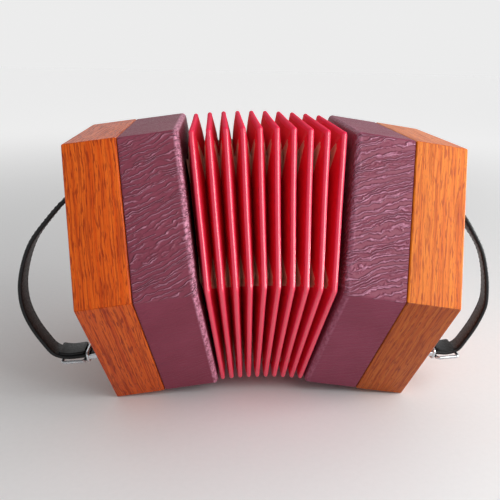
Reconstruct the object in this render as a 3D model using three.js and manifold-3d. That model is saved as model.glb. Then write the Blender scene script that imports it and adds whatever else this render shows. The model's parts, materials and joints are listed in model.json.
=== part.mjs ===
// A hexagonal concertina with ten bellows folds, standing in an arch: the folds are pinched together
// at the bottom and fanned open at the top, so each end leans outwards.
// Millimetres, +Z up, +X towards the right-hand end, -Y towards the front.
import * as THREE from "three";
import { mergeVertices } from "three/addons/utils/BufferGeometryUtils.js";
import Module from "manifold-3d";

const wasm = await Module();
wasm.setup();

// ---------- driving dimensions ----------
const acrossFlats = 165; // the hexagonal ends, which rest on a flat
const clearance = 0.3; // left between pieces that touch

const casingWidth = 35.2; // leather-covered box that holds the reeds
const casingWall = 6;
const casingFlange = 4; // inner face that the bellows are glued to

const frameWidth = 31.5; // wooden box that holds the keys
const frameWall = 7;
const frameRebate = 2.5; // step that the two boards in the frame sit on
const boardThickness = 4.7; // action board
const plateThickness = 3.4; // fretted end plate
const plateInset = 1.3; // how far the end plate lies below the frame's rim

const foldCount = 10;
const foldPitch = 5.6; // one fold, at rest, along the bellows
const foldPitchClosed = 3.6; // the same with the bellows shut
const valleyAngle = 1.5; // degrees that each of the eleven valleys is open at rest
const pivotDrop = 82; // the valleys open about a line this far below the hexagon's centre
const bellowsFlats = 162;
const cardDepth = 21;

const buttonsPerRow = 5;
const buttonSpacing = 16; // between neighbouring buttons of a row
const rowArc = 4; // the middle buttons of a row stand this much further back
// How far back each row's buttons, pivots and pads lie, and how far the row is shifted up.
const keyRows = [
  { button: -10, pivot: 24, pad: 46, shift: -4 },
  { button: 6, pivot: 37, pad: 57, shift: 4 },
];
const airKey = { up: 56, button: -12, pivot: 14, pad: 32, padRadius: 7.5, sounds: false };
const buttonRadius = 4;
const buttonHole = 5.4;
const buttonRise = 6.3; // above the end plate
const buttonShoulder = 1.5; // the wide part of a button starts this far below the end plate
const stemRadius = 2.4;
const keyLevel = 54; // height of the key levers, measured from the bellows side of the casing
const leverWidth = 3;
const leverThickness = 3;
const padRadius = 5.5;
const padThickness = 3;
const padGap = 0.2; // between a pad at rest and the action board
const padStemRadius = 1.6;
const airHole = 4;
const fulcrumRail = { depth: 4, drop: 2.5, ends: 2.5 };
const fulcrumTab = { depth: 2, width: 3 };

const chamberLength = 30; // one reed chamber, and how far back the chambers are centred
const chamberWidth = 5;
const chamberCentre = 36;
const reedPlateThickness = 2;
const reedPlateMargin = 7; // beyond the first and last tongue
const reedSlot = { length: 20, width: 3.4, shift: 2 };
const reedTongue = { start: 2, length: 24, width: 2.6, thickness: 0.4, lift: 0.8 };
const reedClamp = { start: 1, length: 7, width: 4, height: 1.2 };

const strapCentre = -47.5;
const strapWidth = 16;
const strapThickness = 2.4;
const railCentre = -30;
const railWidth = 13;
const railLength = 100;
const railHeight = 11;
const railEndHeight = 4;
const buckleCentre = -46.8; // up the end, where the strap's lower end comes in
const buckleHeight = 8; // of its ring over the frame's rim
const buckleRing = { depth: 3, border: 2 };
const buckleFoot = { height: 1.4, width: 20, length: 10 };
const buckleCheek = { thickness: 1.8, length: 3 };

// ---------- levels along an end's own axis, from the bellows outwards ----------
const frameStart = casingWidth + clearance;
const frameEnd = frameStart + frameWidth;
const boardStart = frameStart + 0.1;
const boardEnd = boardStart + boardThickness;
const plateEnd = frameEnd - plateInset;
const plateStart = plateEnd - plateThickness;
const panEnd = casingWidth - 0.2;
const panStart = 24;
const reedPlateEnd = panStart - clearance;
const reedPlateStart = reedPlateEnd - reedPlateThickness;

const colour = {
  wood: 0xc8641c,
  plateWood: 0xb4561a,
  innerWood: 0xc9a46c,
  leather: 0x7c3e4c,
  card: 0xc4142c,
  strap: 0x161618,
  metal: 0xc4c6c8,
  reed: 0xb8b4a4,
  button: 0xefe9da,
};

function material(hex, roughness = 0.6, metalness = 0) {
  return new THREE.MeshStandardMaterial({ color: hex, roughness, metalness });
}

const looks = {
  wood: material(colour.wood, 0.35),
  plate: material(colour.plateWood, 0.35),
  inner: material(colour.innerWood),
  leather: material(colour.leather, 0.5),
  card: material(colour.card, 0.3),
  strap: material(colour.strap, 0.5),
  metal: material(colour.metal, 0.25, 1),
  reed: material(colour.reed, 0.35, 1),
  button: material(colour.button, 0.3),
};

// ---------- solids ----------
function solid(geometry) {
  const bare = geometry.index ? geometry.toNonIndexed() : geometry.clone();
  bare.deleteAttribute("normal");
  bare.deleteAttribute("uv");
  const merged = mergeVertices(bare, 1e-4);
  return new wasm.Manifold(
    new wasm.Mesh({
      numProp: 3,
      vertProperties: new Float32Array(merged.attributes.position.array),
      triVerts: new Uint32Array(merged.index.array),
    }),
  );
}

function geometryOf(made) {
  const mesh = made.getMesh();
  const geometry = new THREE.BufferGeometry();
  geometry.setAttribute("position", new THREE.BufferAttribute(mesh.vertProperties, 3));
  geometry.setIndex(new THREE.BufferAttribute(mesh.triVerts, 1));
  geometry.computeVertexNormals();
  return geometry;
}

function joined(geometries) {
  const made = geometries.map(solid).reduce((whole, piece) => whole.add(piece));
  return geometryOf(made);
}

// In an end's own frame X runs outwards along its axis, Y to the back and Z up the hexagon.
// Outlines are drawn in (back, up) and given thickness along the axis.
const outlineToEnd = new THREE.Matrix4().makeBasis(
  new THREE.Vector3(0, 1, 0),
  new THREE.Vector3(0, 0, 1),
  new THREE.Vector3(1, 0, 0),
);
const profileToEnd = new THREE.Matrix4().makeBasis(
  new THREE.Vector3(1, 0, 0),
  new THREE.Vector3(0, 0, 1),
  new THREE.Vector3(0, -1, 0),
);
// A lathe turns about its own Y, and six steps of it make a hexagon with corners at the front and back.
const latheToEnd = new THREE.Matrix4().makeBasis(
  new THREE.Vector3(0, 0, 1),
  new THREE.Vector3(1, 0, 0),
  new THREE.Vector3(0, 1, 0),
);

function plateOf(shape, bottom, top, curveSegments = 3) {
  const settings = { depth: top - bottom, bevelEnabled: false, curveSegments };
  return new THREE.ExtrudeGeometry(shape, settings)
    .translate(0, 0, bottom)
    .applyMatrix4(outlineToEnd);
}

// The same for an outline drawn as (along the axis, up), which gets its width to the front and back.
function barOf(shape, back, width, curveSegments = 16) {
  const settings = { depth: width, bevelEnabled: false, curveSegments };
  return new THREE.ExtrudeGeometry(shape, settings)
    .applyMatrix4(profileToEnd)
    .translate(0, back + width / 2, 0);
}

function cornerRadius(flats) {
  return flats / Math.sqrt(3);
}

// A hexagonal ring from corners of its section, each [distance across the flats, place along the axis],
// listed from the inner edge nearest the bellows, outwards and round.
function hexRing(section) {
  const profile = section.map(([flats, along]) => new THREE.Vector2(cornerRadius(flats), along));
  profile.push(profile[0].clone());
  return new THREE.LatheGeometry(profile, 6).applyMatrix4(latheToEnd);
}

function plainRing(outerFlats, innerFlats, start, end) {
  return hexRing([
    [innerFlats, start],
    [outerFlats, start],
    [outerFlats, end],
    [innerFlats, end],
  ]);
}

function hexagon(flats) {
  const radius = cornerRadius(flats);
  const shape = new THREE.Shape();
  for (let i = 0; i < 6; i += 1) {
    const angle = (i * Math.PI) / 3;
    const point = [radius * Math.cos(angle), radius * Math.sin(angle)];
    if (i === 0) shape.moveTo(...point);
    else shape.lineTo(...point);
  }
  shape.closePath();
  return shape;
}

function roundHole(back, up, radius) {
  return new THREE.Path().absarc(back, up, radius, 0, Math.PI * 2, true);
}

function rectangle(PathType, back, up, width, height) {
  const path = new PathType();
  path.moveTo(back - width / 2, up - height / 2);
  path.lineTo(back + width / 2, up - height / 2);
  path.lineTo(back + width / 2, up + height / 2);
  path.lineTo(back - width / 2, up + height / 2);
  path.closePath();
  return path;
}

// A block in an end's frame, from the ranges it spans along the axis, to the back and up.
function block([x0, x1], [y0, y1], [z0, z1]) {
  return new THREE.BoxGeometry(x1 - x0, y1 - y0, z1 - z0).translate(
    (x0 + x1) / 2,
    (y0 + y1) / 2,
    (z0 + z1) / 2,
  );
}

function around(middle, size) {
  return [middle - size / 2, middle + size / 2];
}

function startingAt(start, size) {
  return [start, start + size];
}

// A round piece that stands along an end's axis, from [radius, place along the axis] points.
function turned(points, back, up, sides = 12) {
  const profile = points.map(([radius, along]) => new THREE.Vector2(radius, along));
  return new THREE.LatheGeometry(profile, sides)
    .applyMatrix4(latheToEnd)
    .translate(0, back, up);
}

// ---------- the keys: each is a button, its lever and its pad ----------
function keyLayout(withAirKey) {
  const keys = [];
  for (const row of keyRows) {
    for (let i = 0; i < buttonsPerRow; i += 1) {
      const step = i - (buttonsPerRow - 1) / 2;
      const arc = rowArc * (1 - (step / 2) ** 2);
      keys.push({
        up: step * buttonSpacing + row.shift,
        button: row.button + arc,
        pivot: row.pivot,
        pad: row.pad,
        padRadius,
        sounds: true,
      });
    }
  }
  if (withAirKey) keys.push(airKey);
  return keys;
}

// Drawn with the pivot at the origin, because the key turns about it.
function keyGeometry(key) {
  const halfLever = leverThickness / 2;
  const reach = key.button - key.pivot;
  const padReach = key.pad - key.pivot;
  const padBottom = boardEnd + padGap - keyLevel;
  const padTop = padBottom + padThickness;
  const top = plateEnd + buttonRise - keyLevel;
  const shoulder = plateStart - buttonShoulder - keyLevel;
  const chamfer = 0.8;
  const lever = block(
    [-halfLever, halfLever],
    [reach - leverWidth, padReach + leverWidth],
    [-leverWidth / 2, leverWidth / 2],
  );
  const button = turned(
    [
      [0, 0],
      [stemRadius, 0],
      [stemRadius, shoulder],
      [buttonRadius, shoulder],
      [buttonRadius, top - chamfer],
      [buttonRadius - chamfer, top],
      [0, top],
    ],
    reach,
    0,
  );
  const pad = turned(
    [
      [0, padBottom],
      [key.padRadius, padBottom],
      [key.padRadius, padTop],
      [padStemRadius, padTop],
      [padStemRadius, 0],
      [0, 0],
    ],
    padReach,
    0,
  );
  return joined([lever, button, pad]);
}

// ---------- pieces of an end ----------
function frameGeometry() {
  const inner = acrossFlats - 2 * frameWall;
  const rebated = inner + 2 * frameRebate;
  const boardLedge = boardEnd + clearance;
  const plateLedge = plateStart - clearance;
  return hexRing([
    [rebated, frameStart],
    [acrossFlats, frameStart],
    [acrossFlats, frameEnd],
    [rebated, frameEnd],
    [rebated, plateLedge],
    [inner, plateLedge],
    [inner, boardLedge],
    [rebated, boardLedge],
  ]);
}

const insideFrame = acrossFlats - 2 * frameWall + 2 * frameRebate - 2 * clearance;

// Sound holes: petals in rows that fan out behind the buttons, and one row in front of the strap.
function petal(back, up, angle, length, width) {
  const along = new THREE.Vector2(Math.cos(angle), Math.sin(angle));
  const across = new THREE.Vector2(-along.y, along.x);
  const at = (a, c) => [
    back + along.x * a * length + across.x * c * width,
    up + along.y * a * length + across.y * c * width,
  ];
  const path = new THREE.Path();
  path.moveTo(...at(-0.5, 0));
  path.quadraticCurveTo(...at(0, 1), ...at(0.5, 0));
  path.quadraticCurveTo(...at(0, -1), ...at(-0.5, 0));
  return path;
}

function fretHoles() {
  const holes = [];
  const centreBack = 4;
  const rows = [
    { radius: 32, count: 5, spread: 80, length: 11, width: 5 },
    { radius: 47, count: 7, spread: 108, length: 13, width: 5.5 },
    { radius: 62, count: 5, spread: 56, length: 10, width: 5 },
  ];
  for (const row of rows) {
    for (let i = 0; i < row.count; i += 1) {
      const degrees = row.spread * (i / (row.count - 1) - 0.5);
      const angle = THREE.MathUtils.degToRad(degrees);
      const back = centreBack + row.radius * Math.cos(angle);
      const up = row.radius * Math.sin(angle);
      holes.push(petal(back, up, angle, row.length, row.width));
    }
  }
  for (let i = -2; i <= 2; i += 1) {
    holes.push(petal(-70, i * 12, Math.PI / 2, 9, 4.5));
  }
  return holes;
}

function endPlateGeometry(keys) {
  const shape = hexagon(insideFrame);
  for (const key of keys) shape.holes.push(roundHole(key.button, key.up, buttonHole));
  for (const hole of fretHoles()) shape.holes.push(hole);
  return plateOf(shape, plateStart, plateEnd, 6);
}

function actionBoardGeometry(keys) {
  const shape = hexagon(insideFrame);
  for (const key of keys) shape.holes.push(roundHole(key.pad, key.up, airHole));
  const pieces = [plateOf(shape, boardStart, boardEnd, 2)];
  // A tab stands under each lever as its fulcrum, and a rail joins the tabs of a row.
  const overlap = 0.5;
  const top = keyLevel - leverThickness / 2 - clearance;
  const railTop = keyLevel - leverThickness / 2 - fulcrumRail.drop;
  for (const pivot of new Set(keys.map((key) => key.pivot))) {
    const ups = keys.filter((key) => key.pivot === pivot).map((key) => key.up);
    pieces.push(
      block(
        [boardEnd - overlap, railTop],
        around(pivot, fulcrumRail.depth),
        [Math.min(...ups) - fulcrumRail.ends, Math.max(...ups) + fulcrumRail.ends],
      ),
    );
    for (const up of ups) {
      const across = around(pivot, fulcrumTab.depth);
      pieces.push(block([railTop - overlap, top], across, around(up, fulcrumTab.width)));
    }
  }
  return joined(pieces);
}

function casingGeometry() {
  const inner = acrossFlats - 2 * casingWall;
  const opening = bellowsFlats - 2 * cardDepth;
  return hexRing([
    [opening, 0],
    [acrossFlats, 0],
    [acrossFlats, casingWidth],
    [inner, casingWidth],
    [inner, casingFlange],
    [opening, casingFlange],
  ]);
}

function reedPanGeometry(keys) {
  const shape = hexagon(acrossFlats - 2 * casingWall - 2 * clearance);
  for (const key of keys) {
    const chamber = rectangle(THREE.Path, chamberCentre, key.up, chamberLength, chamberWidth);
    const airPassage = roundHole(key.pad, key.up, airHole);
    shape.holes.push(key.sounds ? chamber : airPassage);
  }
  return plateOf(shape, panStart, panEnd);
}

// One metal plate with a slot and a tongue for every key. A clamp holds each tongue at its front end.
function reedPlateGeometry(keys) {
  const ups = keys.filter((key) => key.sounds).map((key) => key.up);
  const height = Math.max(...ups) - Math.min(...ups) + 2 * reedPlateMargin;
  const middle = (Math.max(...ups) + Math.min(...ups)) / 2;
  const shape = rectangle(THREE.Shape, chamberCentre, middle, chamberLength + 10, height);
  const slotCentre = chamberCentre + reedSlot.shift;
  for (const up of ups) {
    shape.holes.push(rectangle(THREE.Path, slotCentre, up, reedSlot.length, reedSlot.width));
  }
  const pieces = [plateOf(shape, reedPlateStart, reedPlateEnd)];
  const front = chamberCentre - chamberLength / 2;
  const clampLevel = [reedPlateStart - reedClamp.height, reedPlateStart + reedTongue.thickness];
  const clampSpan = startingAt(front + reedClamp.start, reedClamp.length);
  const tongueLevel = startingAt(reedPlateStart - reedTongue.lift, reedTongue.thickness);
  const tongueSpan = startingAt(front + reedTongue.start, reedTongue.length);
  for (const up of ups) {
    pieces.push(block(clampLevel, clampSpan, around(up, reedClamp.width)));
    pieces.push(block(tongueLevel, tongueSpan, around(up, reedTongue.width)));
  }
  return joined(pieces);
}

// A low arched bar for the palm, glued to the end plate.
function handRailGeometry() {
  const half = railLength / 2;
  const foot = plateEnd + clearance;
  const shape = new THREE.Shape();
  shape.moveTo(foot, -half);
  shape.lineTo(foot + railEndHeight, -half);
  shape.quadraticCurveTo(foot + 2 * railHeight - railEndHeight, 0, foot + railEndHeight, half);
  shape.lineTo(foot, half);
  shape.closePath();
  return barOf(shape, railCentre, railWidth);
}

// The strap's middle line in (height over the frame's rim, up): it lies on the plate at the top,
// bulges out for the hand, and turns straight in to its buckle at the bottom.
function strapLine({ rise, top }) {
  const flat = plateEnd - frameEnd + clearance + strapThickness / 2;
  const points = [
    [flat, top],
    [flat, top - 4],
    [0.16 * rise, top - 9],
    [0.33 * rise, top - 15],
    [0.65 * rise, top - 28],
    [0.85 * rise, top - 42],
    [0.97 * rise, top - 56],
    [rise, -11],
    [0.95 * rise, -23],
    [0.84 * rise, -35],
    [0.73 * rise, -43],
    [0.55 * rise, buckleCentre + 0.4],
    [0.28 * rise, buckleCentre],
    [2.2, buckleCentre],
  ].map(([height, up]) => new THREE.Vector3(frameEnd + height, 0, up));
  return new THREE.CatmullRomCurve3(points, false, "centripetal");
}

function strapGeometry(strap) {
  const line = strapLine(strap);
  const steps = 40;
  const outer = [];
  const inner = [];
  for (let i = 0; i <= steps; i += 1) {
    const point = line.getPoint(i / steps);
    const along = line.getTangent(i / steps);
    const across = new THREE.Vector3(-along.z, 0, along.x).multiplyScalar(strapThickness / 2);
    outer.push(new THREE.Vector2(point.x + across.x, point.z + across.z));
    inner.push(new THREE.Vector2(point.x - across.x, point.z - across.z));
  }
  const shape = new THREE.Shape([...outer, ...inner.reverse()]);
  return barOf(shape, strapCentre, strapWidth);
}

// A foot on the end plate, two cheeks, and the ring that the strap's lower end passes through.
function buckleGeometry() {
  const foot = plateEnd + clearance;
  const ringStart = frameEnd + buckleHeight;
  const slot = [strapWidth + 2 * clearance, strapThickness + 2 * clearance];
  const outline = slot.map((size) => size + 2 * buckleRing.border);
  const ring = rectangle(THREE.Shape, strapCentre, buckleCentre, ...outline);
  ring.holes.push(rectangle(THREE.Path, strapCentre, buckleCentre, ...slot));
  const overlap = 0.5;
  const pieces = [
    plateOf(ring, ringStart, ringStart + buckleRing.depth),
    block(
      startingAt(foot, buckleFoot.height),
      around(strapCentre, buckleFoot.width),
      around(buckleCentre, buckleFoot.length),
    ),
  ];
  for (const side of [-1, 1]) {
    const cheek = strapCentre + side * (slot[0] + buckleCheek.thickness) / 2;
    pieces.push(
      block(
        [foot + overlap, ringStart + overlap],
        around(cheek, buckleCheek.thickness),
        around(buckleCentre, buckleCheek.length),
      ),
    );
  }
  return joined(pieces);
}

// ---------- assembly ----------
function add(parent, name, geometry, look) {
  const mesh = new THREE.Mesh(geometry, look);
  mesh.name = name;
  parent.add(mesh);
  return mesh;
}

function buildEnd(side, { withAirKey, strap }) {
  const end = new THREE.Group();
  const keys = keyLayout(withAirKey);
  add(end, `${side}_casing`, casingGeometry(), looks.leather);
  add(end, `${side}_reed_pan`, reedPanGeometry(keys), looks.inner);
  add(end, `${side}_reed_plate`, reedPlateGeometry(keys), looks.reed);
  add(end, `${side}_frame`, frameGeometry(), looks.wood);
  add(end, `${side}_action_board`, actionBoardGeometry(keys), looks.inner);
  add(end, `${side}_end_plate`, endPlateGeometry(keys), looks.plate);
  add(end, `${side}_hand_rail`, handRailGeometry(), looks.wood);
  add(end, `${side}_hand_strap`, strapGeometry(strap), looks.strap);
  add(end, `${side}_strap_buckle`, buckleGeometry(), looks.metal);
  keys.forEach((key, i) => {
    const air = withAirKey && i === keys.length - 1;
    const number = String(i + 1).padStart(2, "0");
    const name = air ? `${side}_air_key` : `${side}_key_${number}`;
    const mesh = add(end, name, keyGeometry(key), looks.button);
    mesh.position.set(keyLevel, key.pivot, key.up);
  });
  return end;
}

// A card is one wall of a fold. It stands just inside its fold's own boundary plane.
const cardThickness = (foldPitchClosed - 2 * clearance) / 2;

function cardGeometry(start) {
  return plainRing(bellowsFlats, bellowsFlats - 2 * cardDepth, start, start + cardThickness);
}

function placed(parent, x, z, tilt) {
  const group = new THREE.Group();
  group.position.set(x, 0, z);
  group.rotation.y = tilt;
  parent.add(group);
  const centre = new THREE.Group();
  centre.position.z = pivotDrop;
  group.add(centre);
  return centre;
}

const valley = THREE.MathUtils.degToRad(valleyAngle);
const lean = (valley * (foldCount + 1)) / 2;
const tilts = [];
for (let fold = 1; fold <= foldCount; fold += 1) tilts.push(fold * valley - lean);

const concertina = new THREE.Group();
const span = tilts.reduce((sum, tilt) => sum + foldPitch * Math.cos(tilt), 0);
let x = -span / 2;
let z = 0;

const left = placed(concertina, x, z, -lean);
left.scale.x = -1; // an end's own frame points outwards, so the left one is mirrored
left.add(buildEnd("left", { withAirKey: false, strap: { rise: 42, top: 58 } }));

tilts.forEach((tilt, i) => {
  const number = String(i + 1).padStart(2, "0");
  const first = placed(concertina, x, z, tilt);
  add(first, `bellows_card_${number}a`, cardGeometry(clearance / 2), looks.card);
  x += foldPitch * Math.cos(tilt);
  z -= foldPitch * Math.sin(tilt);
  const second = placed(concertina, x, z, tilt);
  const start = -clearance / 2 - cardThickness;
  add(second, `bellows_card_${number}b`, cardGeometry(start), looks.card);
});

const right = placed(concertina, x, z, lean);
right.add(buildEnd("right", { withAirKey: true, strap: { rise: 36.5, top: 52.5 } }));

// Stand it on the floor, centred.
const box = new THREE.Box3().setFromObject(concertina, true);
const middle = box.getCenter(new THREE.Vector3());
concertina.position.set(-middle.x, -middle.y, -box.min.z);

const part = new THREE.Group();
part.add(concertina);
export default part;
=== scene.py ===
import json
import math

import bpy
import numpy as np
from mathutils import Matrix, Vector, noise


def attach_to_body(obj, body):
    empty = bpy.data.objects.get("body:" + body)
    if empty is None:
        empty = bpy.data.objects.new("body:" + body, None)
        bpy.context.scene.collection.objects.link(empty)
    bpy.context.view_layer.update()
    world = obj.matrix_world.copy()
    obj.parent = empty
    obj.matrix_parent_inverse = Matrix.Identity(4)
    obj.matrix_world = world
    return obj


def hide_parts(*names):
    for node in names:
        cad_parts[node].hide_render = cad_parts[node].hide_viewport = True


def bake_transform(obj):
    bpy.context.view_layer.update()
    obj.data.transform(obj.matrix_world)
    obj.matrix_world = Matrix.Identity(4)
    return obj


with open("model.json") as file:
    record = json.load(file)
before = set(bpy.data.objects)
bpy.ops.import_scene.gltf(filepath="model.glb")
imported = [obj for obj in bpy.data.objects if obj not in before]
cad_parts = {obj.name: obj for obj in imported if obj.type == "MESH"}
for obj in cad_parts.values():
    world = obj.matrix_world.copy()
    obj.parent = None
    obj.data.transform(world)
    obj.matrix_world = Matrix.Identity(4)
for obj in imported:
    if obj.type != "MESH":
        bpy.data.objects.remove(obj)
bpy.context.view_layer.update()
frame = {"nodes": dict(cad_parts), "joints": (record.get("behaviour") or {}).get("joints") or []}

# Lengths in this script are millimetres in a local frame: the place of that frame turns them into metres.
# An end's frame is (outwards along its axis, to the back, up the hexagon), as in the CAD model.
MM = 0.001
SIDES = ("left", "right")

# ---------- sizes shared with the CAD model ----------
FLATS = 165.0
CASING = 35.2
FRAME_START = 35.5
FRAME_END = 67.0
FRAME_WALL = 7.0
REBATE = 2.5
BOARD_END = 40.3
PLATE_START = 62.3
PLATE_END = 65.7
CLEARANCE = 0.3
FOLDS = 10
FOLD_PITCH = 5.6
VALLEY = math.radians(1.5)
PIVOT_DROP = 82.0
BELLOWS_RADIUS = 81.0
DEPTH = 21.0
KEY_LEVEL = 54.0
STRAP_CENTRE = -47.5
STRAP_WIDTH = 16.0
STRAP_THICKNESS = 2.4
BUCKLE_UP = -46.8
RAIL_CENTRE = -30.0
RAIL_WIDTH = 13.0
RAIL_LENGTH = 100.0
RAIL_HEIGHT = 11.0
LEAN = VALLEY * (FOLDS + 1) / 2
# How far each strap stands out from the frame, and how high its upper end is.
STRAPS = {"left": (42.0, 58.0), "right": (36.5, 52.5)}

# ---------- sizes of the visual model alone ----------
BOLT_CIRCLE = 82.5
CREASE_SLANT = math.radians(21.0)
# The hexagon's sides are counted from the upper back one on over the top to the front.
TOP_SIDE = 1
# How far a strap is turned, in degrees, and the shares of its length where that begins and is complete.
STRAP_TURNS = {"left": (5.0, 0.35, 0.75), "right": (13.0, 0.06, 0.4)}


# ---------- camera ----------
CAMERA_PLACE = (-0.0277, -0.3976, 0.2163)
CAMERA_FORWARD = (0.0578, 0.948, -0.3129)
CAMERA_UP = (-0.0015, 0.3135, 0.9496)


def look_from(place, forward, up):
    forward = Vector(forward).normalized()
    right = forward.cross(Vector(up)).normalized()
    upright = right.cross(forward)
    matrix = Matrix((right, upright, -forward)).transposed().to_4x4()
    matrix.translation = Vector(place)
    return matrix


def show(name, data):
    """An object of that name in the scene."""
    made = bpy.data.objects.new(name, data)
    bpy.context.scene.collection.objects.link(made)
    return made


camera_data = bpy.data.cameras.new("camera")
camera_data.lens = 43.8
camera_data.sensor_width = 36
camera = show("camera", camera_data)
camera.matrix_world = look_from(CAMERA_PLACE, CAMERA_FORWARD, CAMERA_UP)
bpy.context.scene.camera = camera


# ---------- places ----------
def place(centre, out, up):
    """Turns local millimetres (out, back, up) into metres of the shared frame."""
    matrix = (Matrix((out, (0, 1, 0), up)).transposed() * MM).to_4x4()
    matrix.translation = centre
    return matrix


pivots = {}
for joint in frame["joints"]:
    if joint["name"].startswith("fan_"):
        pivots[int(joint["name"][-2:])] = Vector(joint["pos_m"])


def tilted(pivot, tilt, mirror=1):
    up = Vector((math.sin(tilt), 0, math.cos(tilt)))
    along = Vector((math.cos(tilt), 0, -math.sin(tilt)))
    return place(pivot + up * PIVOT_DROP * MM, along * mirror, up)


END = {
    "left": tilted(pivots[0], -LEAN, -1),
    "right": tilted(pivots[FOLDS], LEAN),
}
FOLD = {k: tilted(pivots[k - 1], k * VALLEY - LEAN) for k in range(1, FOLDS + 1)}
WEDGE = {k: tilted(pivots[k], (k + 0.5) * VALLEY - LEAN) for k in range(FOLDS + 1)}


# ---------- mesh building ----------
def shaded(name, mesh, sharp):
    """An object with smooth faces and with sharp edges past that angle in degrees."""
    mesh.polygons.foreach_set("use_smooth", [True] * len(mesh.polygons))
    mesh.set_sharp_from_angle(angle=math.radians(sharp))
    mesh.update()
    return show(name, mesh)


def attach(piece, body, node=None):
    """The piece rides on a body and, where it has a node, stands in for it."""
    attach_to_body(piece, body)
    if node:
        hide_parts(node)


def end_piece(build, side, name, materials, node=None, sharp=40, value_name=None):
    """A finished piece that moves with its end."""
    made = build.finish(f"{side}_{name}", materials, END[side], sharp, value_name)
    attach(made, f"{side}_end", f"{side}_{node}" if node else None)


class Build:
    """Collects patches of one piece, in local millimetres."""

    def __init__(self):
        self.vertices = []
        self.faces = []
        self.uvs = []
        self.picks = []
        self.values = []

    def grid(self, rows, close_rows=False, close_columns=False, pick=0, shift=(0, 0), flip=False,
             values=None, choose=None):
        """rows is an array (n, m, 3). Its faces run from row to row; UV is the length along each way."""
        rows = np.asarray(rows, float)
        n, m = rows.shape[:2]
        base = len(self.vertices)
        self.vertices.extend(rows.reshape(-1, 3).tolist())
        self.values.extend(np.zeros(n * m) if values is None else np.asarray(values, float).reshape(-1))
        onward = np.linalg.norm(np.diff(rows, axis=1, append=rows[:, :1]), axis=2).max(axis=0)
        downward = np.linalg.norm(np.diff(rows, axis=0, append=rows[:1]), axis=2)
        if not close_rows:
            downward = downward[:-1]
        across = np.append(0, np.cumsum(onward)) * MM + shift[0]
        down = np.append(0, np.cumsum(downward.max(axis=1))) * MM + shift[1]
        for i in range(n if close_rows else n - 1):
            for j in range(m if close_columns else m - 1):
                corners = [(i, j), (i, j + 1), (i + 1, j + 1), (i + 1, j)]
                if flip:
                    corners.reverse()
                self.faces.append(tuple(base + row % n * m + column % m for row, column in corners))
                self.uvs.append([(across[column], down[row]) for row, column in corners])
                self.picks.append(choose(i, j) if choose else pick)

    def cap(self, points, flip=False, shift=(0, 0), uv_axes=(1, 2)):
        """One flat face round the points."""
        points = np.asarray(points, float)
        base = len(self.vertices)
        self.vertices.extend(points.tolist())
        self.values.extend([0.0] * len(points))
        face = tuple(range(base, base + len(points)))
        uv = (points[:, uv_axes] * MM + shift).tolist()
        order = -1 if flip else 1
        self.faces.append(face[::order])
        self.uvs.append(uv[::order])
        self.picks.append(0)

    def finish(self, name, materials, where, sharp=40, value_name=None):
        """The piece as an object. Its UV map is in metres, and the values are an attribute of that name."""
        points = np.c_[np.array(self.vertices), np.ones(len(self.vertices))] @ np.array(where).T
        order = -1 if where.determinant() < 0 else 1
        mesh = bpy.data.meshes.new(name)
        mesh.from_pydata(points[:, :3].tolist(), [], [face[::order] for face in self.faces])
        spots = np.array([spot for uv in self.uvs for spot in uv[::order]], np.float32)
        mesh.uv_layers.new(name="size").data.foreach_set("uv", spots.ravel())
        if value_name:
            layer = mesh.attributes.new(value_name, "FLOAT", "POINT")
            layer.data.foreach_set("value", np.array(self.values, np.float32))
        for material in materials:
            mesh.materials.append(material)
        mesh.polygons.foreach_set("material_index", np.array(self.picks, np.int32))
        return shaded(name, mesh, sharp)


def unit(angle):
    return np.array([math.cos(angle), math.sin(angle)])


def direction(vectors):
    """Each vector at a length of one."""
    return vectors / np.linalg.norm(vectors, axis=-1, keepdims=True)


def rounded(corners, radii, steps):
    """A closed outline with each corner replaced by an arc of its own radius."""
    points = []
    corners = np.array(corners, float)
    befores, afters = (np.roll(corners, step, axis=0) for step in (1, -1))
    for here, before, after, radius in zip(corners, befores, afters, radii):
        if radius <= 0:
            points.append(here)
            continue
        before, after = direction(before - here), direction(after - here)
        half = math.acos(max(-1, min(1, float(before @ after)))) / 2
        centre = here + direction(before + after) * radius / math.sin(half)
        start = here + before * radius / math.tan(half) - centre
        end = here + after * radius / math.tan(half) - centre
        for t in np.linspace(0, 1, steps + 1):
            points.append(centre + direction(start * (1 - t) + end * t) * radius)
    return np.array(points)


def rounded_box(low, high, radius, steps):
    """The outline of a box between two corners, with its own corners rounded."""
    (x0, y0), (x1, y1) = low, high
    return rounded([(x0, y0), (x1, y0), (x1, y1), (x0, y1)], [radius] * 4, steps)


def round_turn(steps):
    return [2 * math.pi * step / steps for step in range(steps)]


TAN_30 = math.tan(math.radians(30))
# For each side of the hexagon, the directions outwards and onwards round it, as (back, up).
HEXAGON = [(unit(math.radians(30 + 60 * side)), unit(math.radians(120 + 60 * side))) for side in range(6)]


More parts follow.
